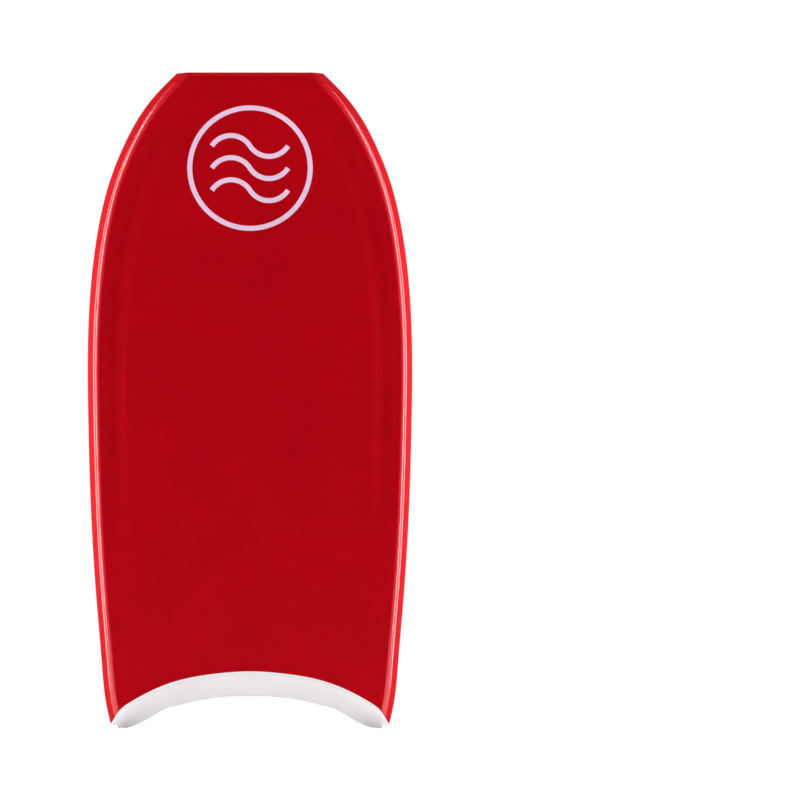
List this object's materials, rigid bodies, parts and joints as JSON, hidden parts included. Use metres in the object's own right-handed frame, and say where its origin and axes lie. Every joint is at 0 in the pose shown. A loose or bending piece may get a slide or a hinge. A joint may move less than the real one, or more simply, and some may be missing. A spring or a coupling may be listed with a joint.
{
  "type": "bodyboard",
  "caption": "Bodyboard with a straight nose and crescent tail: foam core, red foam deck and rails, stringer tube, and a hard white bottom sheet with a printed pattern.",
  "frame": {"origin": "centreline of the board at the height of its tail tips, midway through its depth, with the board standing on its tail", "axes": "+Z runs from tail to nose, the deck faces -Y, the slick (bottom) faces +Y, +X is to the right when looking at the deck"},
  "size_m": [0.528, 0.0704, 1.0666],
  "materials": {
    "deck_foam": "matte closed-cell foam skin",
    "rail_foam": "matte closed-cell foam strip",
    "tail_foam": "matte white foam",
    "black_foam": "matte black foam",
    "core_foam": "beaded white foam",
    "slick": "hard smooth plastic sheet with a fine mesh texture",
    "print": "printed film fused into the sheet",
    "print_black": "black print",
    "print_red": "red print",
    "pale_ink": "pale print on foam",
    "white_ink": "white print on foam",
    "mesh": "woven plastic reinforcing mesh",
    "tube": "fibre-reinforced plastic tube",
    "cap": "soft black plug"
  },
  "bodies": {
    "root": {"foam_core": "core_foam", "stringer": "tube", "stringer_end_caps": "cap", "bore_plug": "core_foam", "bottom_mesh": "mesh", "slick_skin": "slick", "slick_print": "print", "slick_emblem": "print_black", "slick_emblem_ring": "print_red", "deck_skin": "deck_foam", "deck_emblem": "pale_ink", "chine_strip_left": "rail_foam", "chine_strip_right": "rail_foam", "rail_strip_left": "rail_foam", "rail_strip_right": "rail_foam", "rail_marks": "white_ink", "nose_bumper": "black_foam", "tail_skin": "tail_foam"}
  },
  "joints": []
}
